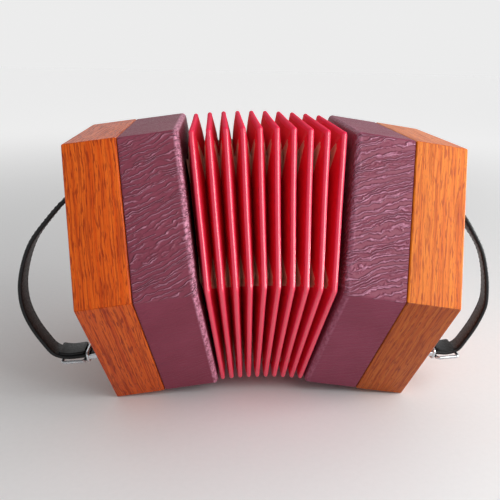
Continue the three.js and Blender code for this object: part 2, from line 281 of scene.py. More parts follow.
# ---------- materials ----------
class Nodes:
    """A short way to write the nodes of a material or of the world."""

    def __init__(self, owner, shader, **settings):
        owner.use_nodes = True
        self.owner = owner
        self.tree = owner.node_tree
        self.shader = self.tree.nodes[shader]
        for socket, value in settings.items():
            self.shader.inputs[socket.replace("_", " ")].default_value = value

    def node(self, kind, links=None, **settings):
        made = self.tree.nodes.new("ShaderNode" + kind)
        for key, value in settings.items():
            setattr(made, key, value)
        for key, value in (links or {}).items():
            socket = made.inputs[key]
            if isinstance(value, bpy.types.NodeSocket):
                self.tree.links.new(value, socket)
            else:
                socket.default_value = value
        return made

    def scaled(self, vector, scale, shift=(0, 0, 0)):
        return self.node("Mapping", {"Vector": vector, "Scale": scale, "Location": shift}).outputs["Vector"]

    def coordinates(self, kind):
        return self.node("TexCoord").outputs[kind]

    def noise(self, vector, scale, detail=3, roughness=0.5, distortion=0):
        """A scale of three numbers stretches the noise."""
        if isinstance(scale, tuple):
            vector, scale = self.scaled(vector, scale), 1.0
        settings = {"Vector": vector, "Scale": scale, "Detail": detail, "Roughness": roughness}
        return self.node("TexNoise", settings | {"Distortion": distortion}).outputs["Fac"]

    def voronoi(self, vector, scale):
        return self.node("TexVoronoi", {"Vector": vector, "Scale": scale}).outputs["Distance"]

    def attribute(self, name):
        return self.node("Attribute", attribute_name=name).outputs["Fac"]

    def level(self, value, low, high, out_low=0.0, out_high=1.0, smooth=False):
        settings = {"Value": value, "From Min": low, "From Max": high, "To Min": out_low, "To Max": out_high}
        kind = "SMOOTHSTEP" if smooth else "LINEAR"
        return self.node("MapRange", settings, interpolation_type=kind).outputs["Result"]

    def dot(self, vector, axis):
        return self.node("VectorMath", {0: vector, 1: axis}, operation="DOT_PRODUCT").outputs["Value"]

    def math(self, operation, a, b):
        return self.node("Math", {0: a, 1: b}, operation=operation).outputs[0]

    def mix(self, factor, a, b, blend="MIX"):
        first, second = ((*colour, 1) if isinstance(colour, tuple) else colour for colour in (a, b))
        links = {0: factor, 6: first, 7: second}
        return self.node("Mix", links, data_type="RGBA", blend_type=blend).outputs[2]

    def bump(self, height, distance, strength=1.0, normal=None):
        links = {"Height": height, "Distance": distance, "Strength": strength}
        if normal is not None:
            links["Normal"] = normal
        return self.node("Bump", links).outputs["Normal"]

    def set(self, socket, value):
        self.tree.links.new(value, self.shader.inputs[socket])


def material(name, **settings):
    return Nodes(bpy.data.materials.new(name), "Principled BSDF", **settings)


def srgb(r, g, b):
    """A colour given as it looks, 0 to 255, in the shader's own scale."""
    return tuple((c / 255 / 12.92) if c <= 10.3 else ((c / 255 + 0.055) / 1.055) ** 2.4 for c in (r, g, b))


def varnished_wood(name, light, middle, dark):
    """Open-grained wood under varnish. The grain runs along U."""
    n = material(name, Coat_Weight=0.12, Coat_Roughness=0.22, Specular_IOR_Level=0.22)
    waver = n.noise(n.coordinates("UV"), (22, 30, 1), 2)
    wavered = n.node("CombineXYZ", {"Y": n.level(waver, 0.2, 0.8, -0.0014, 0.0014)}).outputs[0]
    where = n.node("VectorMath", {0: n.coordinates("UV"), 1: wavered}, operation="ADD").outputs[0]

    def grain(along, across, detail=2, roughness=0.5):
        return n.noise(where, (along, across, 1), detail, roughness)

    streaks = grain(26, 900)
    flecks = n.level(grain(105, 900, roughness=0.55), 0.54, 0.63, 0, 0.8)
    pores = n.level(grain(260, 2600, detail=1), 0.6, 0.7, 0, 0.35)
    tone = n.level(n.noise(n.coordinates("UV"), (14, 14, 1), 2), 0.35, 0.7, 0, 0.35)
    shade = n.mix(n.level(grain(7, 420), 0.36, 0.62), middle, light)
    shade = n.mix(n.level(streaks, 0.5, 0.6, 0, 0.55), shade, dark)
    shade = n.mix(flecks, shade, dark)
    shade = n.mix(pores, shade, tuple(0.4 * c for c in dark))
    # The noise tone varies at random like real wood; the attribute "darker" is painted shade on the boards
    # that face down.
    for share, tint in ((tone, (0.9, 0.74, 0.66)), (n.attribute("darker"), (0.5, 0.4, 0.6))):
        shade = n.mix(share, shade, n.mix(1.0, shade, tint, "MULTIPLY"))
    n.set("Base Color", shade)
    n.set("Roughness", n.level(streaks, 0.3, 0.7, 0.4, 0.56))
    n.set("Normal", n.bump(flecks, -0.00012, 0.6))
    return n.owner


def creased_leather(name, base, crease_and_highlight_colour, deep, slant, edge_highlight, pitch, cover):
    """Glazed leather with raised creases that run aslant. U runs round the casing and V along its axis, from
    the turned-over edge on the bellows' side. A point attribute says how strong the creases are; their
    lighter colour is partly painted highlight. They lie one pitch apart, and a higher cover joins more of
    them up.
    The turned-over edge carries a band of painted highlight, scaled for each end."""
    n = material(name, Coat_Weight=0.02, Coat_Roughness=0.3)
    where = n.coordinates("UV")
    turn = CREASE_SLANT * slant
    across = n.dot(where, (math.cos(turn), math.sin(turn), 0))
    along = n.dot(where, (-math.sin(turn), math.cos(turn), 0))
    aligned = n.node("CombineXYZ", {"X": along, "Y": across}).outputs[0]

    def stretched(x, y, z):
        return n.scaled(aligned, (x, y, 1), (0, 0, z))

    bend = n.math("MULTIPLY", n.noise(stretched(30, 44, 3.1), 1.0, 1), 3.6)
    shake = n.math("MULTIPLY", n.noise(stretched(190, 230, 7.7), 1.0, 2), 1.25)
    bent = n.math("ADD", bend, shake)
    families = []
    for spacing, z in ((pitch, 0.0), (1.27 * pitch, 5.3)):
        phase = n.math("ADD", n.math("DIVIDE", across, spacing), bent)
        line = n.level(n.math("PINGPONG", phase, 0.5), 0.24, 0.5, smooth=True)
        shown = n.level(n.noise(stretched(90, 330, 11 + z), 1.0, 2), 0.37 - cover, 0.6 - cover, smooth=True)
        families.append(n.math("MULTIPLY", line, shown))
    creases = n.math("MAXIMUM", families[0], n.math("MULTIPLY", families[1], 0.8))
    creases = n.math("MULTIPLY", creases, n.attribute("creases_and_painted_light"))
    edge_at = n.dot(where, (0, 1, 0))
    begun = n.level(edge_at, 0.0006, 0.0020, smooth=True)
    edge = n.math("MULTIPLY", begun, n.level(edge_at, 0.0062, 0.0046, smooth=True))
    crumple = n.noise(n.coordinates("UV"), (300, 520, 1), 3, 0.6)
    crumpled = n.math("MULTIPLY", edge, n.level(crumple, 0.4, 0.62))
    pebbles = n.voronoi(where, 950)
    patches = n.noise(where, 40, 3, 0.5)
    shade = n.mix(n.level(patches, 0.35, 0.7, 0, 0.5), base, deep)
    # The creases' lighter colour is partly the leather's own and partly painted highlight on their lit tops.
    shade = n.mix(n.level(creases, 0.3, 1.0, 0, 0.78), shade, crease_and_highlight_colour)
    # Painted highlight on the turned-over edge: a lighter band and pale crumpled spots, strong on the left
    # end, whose edge faces the light, and faint on the right end, whose edge lies in shade.
    shade = n.mix(n.math("MULTIPLY", edge, 0.25 * edge_highlight), shade, crease_and_highlight_colour)
    edge_glint_colour = tuple(min(1, 1.5 * c) for c in crease_and_highlight_colour)
    shade = n.mix(n.math("MULTIPLY", crumpled, 0.75 * edge_highlight), shade, edge_glint_colour)
    n.set("Base Color", shade)
    n.set("Roughness", n.level(pebbles, 0.0, 0.7, 0.56, 0.38))
    n.set("Specular IOR Level", n.level(n.attribute("creases_and_painted_light"), 0.3, 0.6, 0.06, 0.25))
    fine = n.bump(pebbles, 0.00010, 0.5)
    folded = n.bump(creases, 0.0012, 1.0, fine)
    n.set("Normal", n.bump(crumpled, 0.0004, 0.8, folded))
    return n.owner


def grained_leather(name, base, worn, crease, roughness, coat=0.15):
    n = material(name, Coat_Weight=coat, Coat_Roughness=0.3, Specular_IOR_Level=0.35)
    where = n.coordinates("Object")
    pebbles = n.voronoi(where, 900)
    creases = n.noise(where, 160, 4, 0.6, 0.8)
    patches = n.noise(where, 28, 3, 0.5)
    shade = n.mix(n.level(patches, 0.35, 0.7, 0, 0.45), base, crease)
    n.set("Base Color", n.mix(n.level(creases, 0.52, 0.62, 0, 0.3), shade, worn))
    n.set("Roughness", n.level(pebbles, 0.0, 0.7, roughness + 0.12, roughness - 0.08))
    fine = n.bump(pebbles, 0.00016, 0.55)
    n.set("Normal", n.bump(creases, 0.000256, 0.5, fine))
    return n.owner


def metal(name, colour, roughness):
    n = material(name, Metallic=1.0)
    smudges = n.noise(n.coordinates("Object"), 240, 4, 0.6)
    scratches = n.noise(n.coordinates("Object"), (60, 900, 900), 3, 0.6)
    n.set("Base Color", n.mix(n.level(smudges, 0.4, 0.75, 0, 0.5), colour, tuple(c * 0.6 for c in colour)))
    n.set("Roughness", n.level(smudges, 0.3, 0.7, roughness, roughness + 0.2))
    n.set("Normal", n.bump(scratches, 0.00003, 0.1))
    return n.owner


def bellows_cloth(name, base, deep, roughness, coat, coat_index=1.5):
    """Glossy leathercloth. The attribute "dulled" says how dull it is. U runs round the bellows."""
    n = material(name, Coat_Roughness=0.12, Coat_IOR=coat_index)
    weave = n.noise(n.coordinates("UV"), (1500, 1500, 1), 2, 0.5)
    blotch = n.noise(n.coordinates("UV"), (40, 90, 1), 3, 0.5)
    wrinkles = n.noise(n.coordinates("UV"), (70, 260, 1), 3, 0.6, 0.4)
    dulled = n.attribute("dulled")
    rough = n.level(weave, 0.3, 0.7, roughness, roughness + 0.12)
    n.set("Base Color", n.mix(n.level(blotch, 0.35, 0.7, 0, 0.5), base, deep))
    n.set("Roughness", n.math("ADD", rough, n.level(dulled, 0, 1, 0, 0.25)))
    n.set("Coat Weight", n.level(dulled, 0, 1, coat, 0.0))
    n.set("Specular IOR Level", n.level(dulled, 0, 1, 0.2, 0.04))
    n.set("Normal", n.bump(wrinkles, 0.0003, 0.35, n.bump(weave, 0.00005, 0.5)))
    return n.owner


def button_ivory():
    n = material("button_ivory", Coat_Weight=0.4, Coat_Roughness=0.1, Subsurface_Weight=0.08)
    lines = n.noise(n.coordinates("Object"), (300, 900, 300), 3, 0.5)
    n.set("Base Color", n.mix(n.level(lines, 0.4, 0.7, 0, 0.5), srgb(236, 228, 206), srgb(214, 200, 168)))
    n.set("Roughness", n.level(n.noise(n.coordinates("Object"), 400, 3), 0.3, 0.7, 0.2, 0.34))
    n.set("Normal", n.bump(lines, 0.00003, 0.3))
    return n.owner


def wool_felt():
    n = material("felt", Roughness=0.95, Sheen_Weight=0.5, Sheen_Roughness=0.5)
    fibres = n.noise(n.coordinates("Object"), 2600, 5, 0.7, 1.2)
    n.set("Base Color", n.mix(n.level(fibres, 0.35, 0.7), srgb(92, 18, 24), srgb(138, 34, 40)))
    n.set("Normal", n.bump(fibres, 0.0002, 0.8))
    return n.owner


def bare_wood():
    n = material("inner_wood")
    grain = n.noise(n.coordinates("Object"), (40, 900, 70), 4, 0.6, 0.4)
    n.set("Base Color", n.mix(n.level(grain, 0.3, 0.7), srgb(150, 106, 58), srgb(204, 166, 112)))
    n.set("Roughness", n.level(grain, 0.3, 0.7, 0.5, 0.68))
    n.set("Normal", n.bump(grain, 0.0001, 0.4))
    return n.owner


wood_left = varnished_wood("varnished_wood_left", srgb(232, 106, 24), srgb(214, 82, 8), srgb(152, 44, 2))
wood_right = varnished_wood("varnished_wood_right", srgb(233, 130, 30), srgb(220, 106, 10), srgb(174, 68, 6))
frame_woods = {"left": wood_left, "right": wood_right}
plate_wood = varnished_wood("end_plate_wood", srgb(196, 96, 38), srgb(164, 70, 24), srgb(104, 36, 12))
rail_wood = varnished_wood("rail_wood", srgb(206, 104, 38), srgb(176, 74, 22), srgb(120, 42, 14))
# The left casing's edge gets a strong painted highlight and the right one's, which lies in shade, a faint
# one.
casing_leathers = {
    "left": creased_leather(
        "casing_leather_left", srgb(138, 66, 84), srgb(206, 140, 164), srgb(122, 54, 70),
        slant=-1, edge_highlight=1.0, pitch=0.0027, cover=0.0),
    "right": creased_leather(
        "casing_leather_right", srgb(138, 68, 88), srgb(206, 142, 168), srgb(120, 56, 72),
        slant=1, edge_highlight=0.2, pitch=0.0034, cover=0.08),
}
strap_leather = grained_leather(
    "strap_leather", srgb(12, 13, 16), srgb(30, 32, 36), srgb(5, 6, 8), 0.5, coat=0.05)
strap_thread = grained_leather(
    "strap_thread", srgb(34, 33, 34), srgb(58, 56, 55), srgb(20, 20, 20), 0.7)
gusset_leather = grained_leather(
    "gusset_leather", srgb(222, 160, 138), srgb(238, 196, 176), srgb(190, 122, 104), 0.6)
pad_leather = grained_leather(
    "pad_leather", srgb(206, 186, 150), srgb(226, 210, 180), srgb(160, 136, 100), 0.75)
wall_cloth = bellows_cloth("bellows_wall_cloth", srgb(232, 32, 56), srgb(218, 20, 44), 0.5, 0.04)
ridge_cloth = bellows_cloth("bellows_ridge_cloth", srgb(244, 52, 88), srgb(232, 38, 70), 0.4, 0.62, 2.1)
buckle_metal = metal("buckle_metal", srgb(206, 208, 212), 0.16)
brass = metal("lever_brass", srgb(196, 158, 86), 0.3)
steel = metal("bolt_steel", srgb(176, 178, 182), 0.26)
buttons = button_ivory()
felt = wool_felt()
inner_wood = bare_wood()


# ---------- casings ----------
def hex_loop(radius, corner, side_steps, corner_steps):
    """Points round a hexagon with rounded corners, as (back, up), and the side that each one is on."""
    points, sides = [], []
    reach = (radius - corner) * TAN_30
    for side, (outward, onward) in enumerate(HEXAGON):
        for share in np.linspace(-1, 1, side_steps + 1):
            points.append(outward * radius + onward * reach * share)
        begins = math.radians(30 + 60 * side)
        centre = unit(begins + math.radians(30)) * (radius - corner) / math.cos(math.radians(30))
        for step in range(1, corner_steps):
            points.append(centre + unit(begins + math.radians(60) * step / corner_steps) * corner)
        sides += [side] * (side_steps + corner_steps)
    return np.array(points), sides


# How strong the creases are on each side of the hexagon, and inside the casing. The same numbers scale the
# creases' lighter colour, which is partly painted highlight: strongest on the lit upper front, weakest on
# the lower front so that it reads as shaded.
CREASE_AND_LIGHT_BY_SIDE = (0.6, 0.28, 1.0, 0.15, 0.4, 0.5)
CREASED_INSIDE = 0.3


def casing(side):
    """A leather-covered ring, open to the bellows inside. Its covering is slack and swells a little."""
    outer = FLATS / 2
    inner = outer - 6
    opening = BELLOWS_RADIUS - DEPTH
    corners = [(outer, 0), (outer, CASING), (inner, CASING), (inner, 4), (opening, 4), (opening, 0)]
    outline = rounded(corners, [3.0, 1.1, 0.4, 0.4, 0.6, 0.6], 6)
    # The long straight face after the first corner's arc gets points of its own, for the slack.
    first_end = 7
    face = np.linspace(outline[first_end - 1], outline[first_end], 23)[1:-1]
    profile = [*outline[:first_end], *face, *outline[first_end:]]
    covered = first_end + len(face) + 3
    seed = 0 if side == "right" else 400
    rows, creases_and_painted_light = [], []
    for index, (radius, along) in enumerate(profile):
        points, sides = hex_loop(radius, 1.6, 48, 6)
        strengths = [CREASE_AND_LIGHT_BY_SIDE[i] if index < covered else CREASED_INSIDE for i in sides]
        row = []
        for (back, up), strength in zip(points, strengths):
            slack = 1.0
            if radius > outer - 3.2 and index < covered:
                swell = noise.noise(Vector((along * 0.11, back * 0.07 + seed, up * 0.07)))
                edge = noise.noise(Vector((along * 0.3, back * 0.3 + seed, up * 0.3))) if along < 5 else 0.0
                slack = 1 - (0.22 - 0.2 * swell * strength - 0.16 * edge) / outer
            row.append((along, back * slack, up * slack))
        rows.append(row)
        creases_and_painted_light.append(strengths)
    build = Build()
    build.grid(rows, close_rows=True, close_columns=True, values=creases_and_painted_light)
    leathers = [casing_leathers[side]]
    end_piece(build, side, "casing_leather", leathers, "casing", 60, "creases_and_painted_light")


# ---------- wooden frames ----------
def inset(outline, amount):
    """The closed outline moved inwards by an amount; it runs clockwise or anticlockwise."""
    before = outline - np.roll(outline, 1, axis=0)
    after = np.roll(outline, -1, axis=0) - outline
    tangent = direction(direction(before) + direction(after))
    area = np.sum(outline[:, 0] * np.roll(outline[:, 1], -1) - np.roll(outline[:, 0], -1) * outline[:, 1])
    normal = np.c_[-tangent[:, 1], tangent[:, 0]] * (1 if area > 0 else -1)
    return outline + normal * amount


# How much painted shade darkens each board, side by side round the hexagon; the lower boards get the most.
SHADED_BOARDS = {"left": (0.1, 0.0, 0.0, 0.35, 0.3, 0.2), "right": (0.1, 0.0, 0.0, 0.85, 0.5, 0.3)}


def wooden_frame(side):
    """Six boards, mitred at the corners, each with its own run of grain; the lower boards are painted darker
    as shade.
    """
    outer = FLATS / 2
    inner = outer - FRAME_WALL
    ledge = inner + REBATE
    step_out = PLATE_START - CLEARANCE
    step_in = BOARD_END + CLEARANCE
    corners = [
        (outer, FRAME_START), (outer, FRAME_END), (ledge, FRAME_END), (ledge, step_out),
        (inner, step_out), (inner, step_in), (ledge, step_in), (ledge, FRAME_START),
    ]
    outline = rounded(corners, [1.0, 1.1, 0.5, 0, 0.3, 0.3, 0, 0.3], 4)
    shrunk = inset(outline, 0.28)
    # Each station is a share of the board's half length, a gap to the mitre and an outline.
    stations = [(-1, 0.03, shrunk), (-1, 0.32, outline)]
    stations += [(share, 0, outline) for share in np.linspace(-0.92, 0.92, 16)]
    stations += [(1, 0.32, outline), (1, 0.03, shrunk)]
    build = Build()
    for board, (outward, onward) in enumerate(HEXAGON):
        first = len(build.values)
        rows = []
        for share, gap, section in stations:
            row = []
            for radius, along in section:
                spot = outward * radius + onward * share * (radius * TAN_30 - gap)
                row.append((along, spot[0], spot[1]))
            rows.append(row)
        shift = (board * 0.7 + (3.1 if side == "left" else 0), board * 0.31)
        # U has to run along the board, so the grid is laid with its columns along it.
        rows = np.array(rows).transpose(1, 0, 2)
        build.grid(rows, close_rows=True, shift=shift, flip=True)
        build.cap(rows[:, 0], shift=shift)
        build.cap(rows[:, -1], shift=shift, flip=True)
        # Each board carries its share of painted shade.
        build.values[first:] = [SHADED_BOARDS[side][board]] * (len(build.values) - first)
    end_piece(build, side, "frame_boards", [frame_woods[side]], "frame", 45, "darker")


# ---------- fretted end plates ----------
def key_layout(with_air_key):
    """Two rows of five keys, each row lying on an arc, and the air key beyond them."""
    keys = []
    for button, pad, shift in ((-10, 46, -4), (6, 57, 4)):
        for step in range(-2, 3):
            arc = 4 * (1 - (step / 2) ** 2)
            keys.append({"up": step * 16 + shift, "button": button + arc, "pad": pad, "pad_radius": 5.5})
    if with_air_key:
        keys.append({"up": 56, "button": -12, "pad": 32, "pad_radius": 7.5})
    return keys


KEYS = {"left": key_layout(False), "right": key_layout(True)}


def petal(back, up, angle, length, width):
    """A leaf shape between two points, as two arcs."""
    along, across = unit(angle), unit(angle + math.pi / 2)
    points = []
    for sign in (1, -1):
        for step in range(10):
            t = step / 10 * sign + (0 if sign > 0 else 1)
            reach = (t - 0.5) * length
            bulge = 2 * t * (1 - t) * width * sign
            points.append(np.array([back, up]) + along * reach + across * bulge)
    return points


def circle(back, up, radius):
    return [np.array([back, up]) + unit(angle) * radius for angle in round_turn(28)]


def fret_holes():
    """Three arcs of petals behind the buttons, and a row in front of the rail."""
    holes = []
    arcs = ((32, 5, 80, 5, 11), (47, 7, 108, 5.5, 13), (62, 5, 56, 5, 10))
    for radius, count, spread, width, length in arcs:
        for i in range(count):
            angle = math.radians(spread * (i / (count - 1) - 0.5))
            back, up = unit(angle) * radius
            holes.append(petal(4 + back, up, angle, length, width))
    for i in range(-2, 3):
        holes.append(petal(-70, i * 12, math.pi / 2, 9, 4.5))
    return holes


def flat_plate(name, outline, holes, bottom, top, bevel):
    """A plate with bevelled edges, from a filled curve. Its local frame is (back, up, out)."""
    curve = bpy.data.curves.new(name, "CURVE")
    curve.dimensions = "2D"
    curve.fill_mode = "BOTH"
    curve.extrude = (top - bottom) / 2 - bevel
    curve.bevel_depth = bevel
    curve.bevel_resolution = 2
    curve.offset = -bevel
    for points in [outline, *holes]:
        spline = curve.splines.new("POLY")
        spline.points.add(len(points) - 1)
        spline.use_cyclic_u = True
        for spot, point in zip(spline.points, points):
            spot.co = (point[0], point[1], 0, 1)
    source = show(name + "_curve", curve)
    bpy.context.view_layer.update()
    mesh = bpy.data.meshes.new_from_object(source.evaluated_get(bpy.context.evaluated_depsgraph_get()))
    bpy.data.objects.remove(source)
    mesh.transform(Matrix.Translation((0, 0, (top + bottom) / 2)))
    return mesh


def end_plate(side):
    radius = (FLATS / 2 - FRAME_WALL + REBATE - CLEARANCE) / math.cos(math.radians(30))
    outline = [unit(math.radians(60 * i)) * radius for i in range(6)]
    holes = [circle(key["button"], key["up"], 5.4) for key in KEYS[side]] + fret_holes()
    name = f"{side}_end_plate_wood"
    mesh = flat_plate(name, outline, holes, PLATE_START, PLATE_END, 0.35)
    local = np.zeros(len(mesh.vertices) * 3, np.float32)
    mesh.vertices.foreach_get("co", local)
    corners = np.zeros(len(mesh.loops), np.int32)
    mesh.loops.foreach_get("vertex_index", corners)
    layer = mesh.uv_layers[0] if mesh.uv_layers else mesh.uv_layers.new(name="size")
    # U runs up the plate and V to the back.
    uv = local.reshape(-1, 3)[corners][:, (1, 0)] * MM + (9.0 if side == "left" else 12.0)
    layer.data.foreach_set("uv", uv.astype(np.float32).ravel())
    swap = Matrix(((0, 0, 1, 0), (1, 0, 0, 0), (0, 1, 0, 0), (0, 0, 0, 1)))
    matrix = END[side] @ swap
    mesh.transform(matrix)
    if matrix.determinant() < 0:
        mesh.flip_normals()
    mesh.materials.clear()
    mesh.materials.append(plate_wood)
    attach(shaded(name, mesh, 30), f"{side}_end", f"{side}_end_plate")


# ---------- turned pieces: buttons, pads, bolts, washers ----------
def turn(build, profile, back, up, sides=24, pick=0):
    """Adds a round piece whose profile is [(radius, along)]."""
    ring = [unit(angle) for angle in round_turn(sides)]
    rows = [[(along, back + radius * x, up + radius * y) for x, y in ring] for radius, along in profile]
    build.grid(rows, close_columns=True, pick=pick, flip=True)


def box_bar(build, low, high, bevel):
    """Adds a block with bevelled long edges: it runs along the second axis (to the back)."""
    (x0, y0, z0), (x1, y1, z1) = low, high
    section = rounded_box((x0, z0), (x1, z1), bevel, 2)
    small = inset(section, bevel * 0.7)
    rows = []
    for y, outline in ((y0, small), (y0 + bevel, section), (y1 - bevel, section), (y1, small)):
        rows.append([(p[0], y, p[1]) for p in outline])
    rows = np.array(rows).transpose(1, 0, 2)
    build.grid(rows, close_rows=True, flip=True)
    build.cap(rows[:, 0], uv_axes=(0, 2))
    build.cap(rows[:, -1], uv_axes=(0, 2), flip=True)


def key(side, number, spec):
    """A button, its lever and its pad."""
    name = f"{side}_air_key" if number > 10 else f"{side}_key_{number:02d}"
    up = spec["up"]
    top = PLATE_END + 6.3
    neck = PLATE_START - 1.6
    head, lever, pad = Build(), Build(), Build()
    shank = [(0, KEY_LEVEL + 1.2), (2.4, KEY_LEVEL + 1.2), (2.4, neck), (3.6, neck + 0.1), (4.0, neck + 0.5)]
    dome = [(4.0, -1.3), (3.8, -0.75), (3.3, -0.3), (2.4, -0.08), (1.2, 0), (0, 0.02)]
    turn(head, shank + [(radius, top + rise) for radius, rise in dome], spec["button"], up, 28)
    low = (KEY_LEVEL - 1.5, spec["button"] - 3, up - 1.5)
    high = (KEY_LEVEL + 1.5, spec["pad"] + 3, up + 1.5)
    box_bar(lever, low, high, 0.4)
    radius, bottom = spec["pad_radius"], BOARD_END + 0.2
    seam = bottom + 1.8
    cushion = [(0, bottom), (radius - 0.5, bottom), (radius, bottom + 0.4), (radius, seam - 0.3)]
    disc = [(radius - 0.2, seam + 0.9), (radius - 0.5, seam + 1.2), (2.4, seam + 1.2), (1.6, seam + 1.8)]
    stem = [(1.6, KEY_LEVEL - 1.2), (0, KEY_LEVEL - 1.2)]
    turn(pad, [*cushion, (radius - 0.3, seam)], spec["pad"], up)
    turn(pad, [(radius - 0.3, seam), *disc, *stem], spec["pad"], up, pick=1)
    head = head.finish(f"{name}_button", [buttons], END[side], 50)
    lever = lever.finish(f"{name}_lever", [brass], END[side])
    pad = pad.finish(f"{name}_pad", [pad_leather, inner_wood], END[side])
    for piece, slot in ((head, "buttons"), (lever, "reed_metal"), (pad, "inner_wood")):
        attach(piece, name, name)


def felt_rings(side):
    """A thin felt ring lies round each button, at the end plate's holes."""
    build = Build()
    level = PLATE_START - 0.05
    ring = [(5.0, level), (5.0, level - 0.7), (6.8, level - 0.7), (6.8, level), (5.0, level)]
    for spec in KEYS[side]:
        turn(build, ring, spec["button"], spec["up"])
    end_piece(build, side, "button_felts", [felt])


def slotted_head(build, back, up, level, radius, turned):
    """A screw's domed head. Its slot is a narrow trough between raised edges, laid over the dome."""
    dome = [(1, 0), (1, 0.25), (0.85, 0.6), (0.5, 0.85), (0, 0.92)]
    turn(build, [(radius * share, level + height) for share, height in dome], back, up)
    half = radius * 0.14
    trough = [(1.5, -0.12), (1, 0.05), (0.8, -0.2)]
    trough = [(-c, drop) for c, drop in trough] + trough[::-1]
    along, across = unit(turned), unit(turned + math.pi / 2)
    rows = []
    for a in np.linspace(-radius * 0.98, radius * 0.98, 7):
        height = level + 0.94 - 0.5 * (a / radius) ** 2
        row = []
        for c, drop in trough:
            spot = np.array([back, up]) + along * a + across * c * half
            row.append((height + drop, spot[0], spot[1]))
        rows.append(row)
    build.grid(rows, flip=True)


def washer(build, back, up, radius, bottom, rim, top):
    """A flat ring with a bevelled rim, round a screw."""
    turn(build, [(radius, bottom), (radius, rim), (radius - 0.4, top), (1.6, top)], back, up)


def end_bolts(side):
    """Six bolts, one in each corner of the end plate, hold the end together."""
    build = Build()
    for i in range(6):
        back, up = unit(math.radians(60 * i)) * BOLT_CIRCLE
        washer(build, back, up, 3.4, PLATE_END - 0.1, PLATE_END + 0.25, PLATE_END + 0.4)
        slotted_head(build, back, up, PLATE_END + 0.3, 2.2, 0.5 + 1.1 * i)
    end_piece(build, side, "end_bolts", [steel], sharp=35)


# ---------- hand rails ----------
def hand_rail(side):
    """A bar that is highest at its middle, with rounded edges and ends."""
    foot = PLATE_END + CLEARANCE
    base = 4.0
    rows = []
    for share in np.linspace(-1, 1, 41):
        crown = foot + base + (RAIL_HEIGHT - base) * (1 - share * share)
        end = max(0.0, (abs(share) - 0.94) / 0.06)
        top = crown - 1.2 * end ** 2
        width = RAIL_WIDTH / 2 - 0.6 * end ** 2
        corners = [(foot, -width), (top, -width), (top, width), (foot, width)]
        section = rounded(corners, [0.2, 2.2, 2.2, 0.2], 5)
        rows.append([(p[0], RAIL_CENTRE + p[1], share * RAIL_LENGTH / 2) for p in section])
    rows = np.array(rows).transpose(1, 0, 2)
    build = Build()
    build.grid(rows, close_rows=True, shift=(5.0 if side == "left" else 7.0, 0))
    build.cap(rows[:, 0], uv_axes=(0, 1), flip=True)
    build.cap(rows[:, -1], uv_axes=(0, 1))
    end_piece(build, side, "hand_rail_wood", [rail_wood], "hand_rail", 50)


# ---------- hand straps ----------
def catmull(points, samples):
    """A centripetal curve through the points, at even shares of its own parameter."""
    points = [np.array(p, float) for p in points]
    points = [2 * points[0] - points[1], *points, 2 * points[-1] - points[-2]]
    pieces = len(points) - 3
    made = []
    for k in range(samples + 1):
        at = min(k / samples * pieces, pieces - 1e-9)
        i = int(at)
        level = points[i:i + 4]
        knots = [0.0]
        for p, q in zip(level, level[1:]):
            knots.append(knots[-1] + max(1e-4, np.linalg.norm(q - p)) ** 0.5)
        t = knots[1] + (knots[2] - knots[1]) * (at - i)
        # Three rounds of mixing neighbours, each between these two knots, leave one point of the four.
        for spans in (((0, 1), (1, 2), (2, 3)), ((0, 2), (1, 3)), ((1, 2),)):
            level = [((knots[b] - t) * p + (t - knots[a]) * q) / (knots[b] - knots[a])
                     for (a, b), p, q in zip(spans, level, level[1:])]
        made.append(level[0])
    return np.array(made)


def strap_line(side):
    """The strap's middle line as (along the axis, up), from its screw over the hand to the buckle."""
    rise, top = STRAPS[side]
    flat = PLATE_END - FRAME_END + CLEARANCE + STRAP_THICKNESS / 2
    points = [
        (flat, top), (flat, top - 4), (0.16 * rise, top - 9), (0.33 * rise, top - 15),
        (0.65 * rise, top - 28), (0.85 * rise, top - 42), (0.97 * rise, top - 56), (rise, -11),
        (0.95 * rise, -23), (0.84 * rise, -35), (0.73 * rise, -43),
        (0.55 * rise, BUCKLE_UP + 0.4), (0.28 * rise, BUCKLE_UP), (2.2, BUCKLE_UP),
    ]
    return catmull([(FRAME_END + height, up) for height, up in points], 110)


def even(line, spacing):
    """The line again with points that far apart, and how far along it each one lies."""
    steps = np.linalg.norm(np.diff(line, axis=0), axis=1)
    length = np.concatenate([[0], np.cumsum(steps)])
    where = np.linspace(0, length[-1], max(2, int(length[-1] / spacing)) + 1)
    return np.c_[np.interp(where, length, line[:, 0]), np.interp(where, length, line[:, 1])], where


def strap_frames(line):
    tangent = direction(np.gradient(line, axis=0))
    return tangent, np.c_[-tangent[:, 1], tangent[:, 0]]


def no_twist(at):
    return 0.0


def strap_band(build, line, where, offset, width, thickness, twist=no_twist):
    """A leather band along a line of (along the axis, up), offset to one side, with rounded edges."""
    _, normal = strap_frames(line)
    section = rounded_box((-width / 2, -thickness / 2), (width / 2, thickness / 2), thickness * 0.42, 3)
    rows = []
    for i, spot in enumerate(line):
        angle = twist(where[i])
        end = min(1.0, min(where[i], where[-1] - where[i]) / 1.2)
        shrink = 0.86 + 0.14 * math.sqrt(max(0.0, 1 - (1 - end) ** 2))
        row = []
        for across, depth in section * shrink:
            depth += offset
            out, up = spot + normal[i] * (across * math.sin(angle) + depth * math.cos(angle))
            row.append((out, STRAP_CENTRE + across * math.cos(angle) - depth * math.sin(angle), up))
        rows.append(row)
    build.grid(rows, close_columns=True, flip=True)
    build.cap(rows[0])
    build.cap(rows[-1], flip=True)


def stitch(build, centre, along, across, lift):
    """One raised thread stitch, as a short rounded bead."""
    length, radius = 1.9, 0.26
    rows = []
    for t in np.linspace(-1, 1, 7):
        swell = radius * math.sqrt(max(0.03, 1 - t * t))
        middle = centre + along * t * length / 2
        rows.append([middle + (across * math.cos(a) + lift * math.sin(a)) * swell for a in round_turn(6)])
    build.grid(rows, close_columns=True, pick=1)


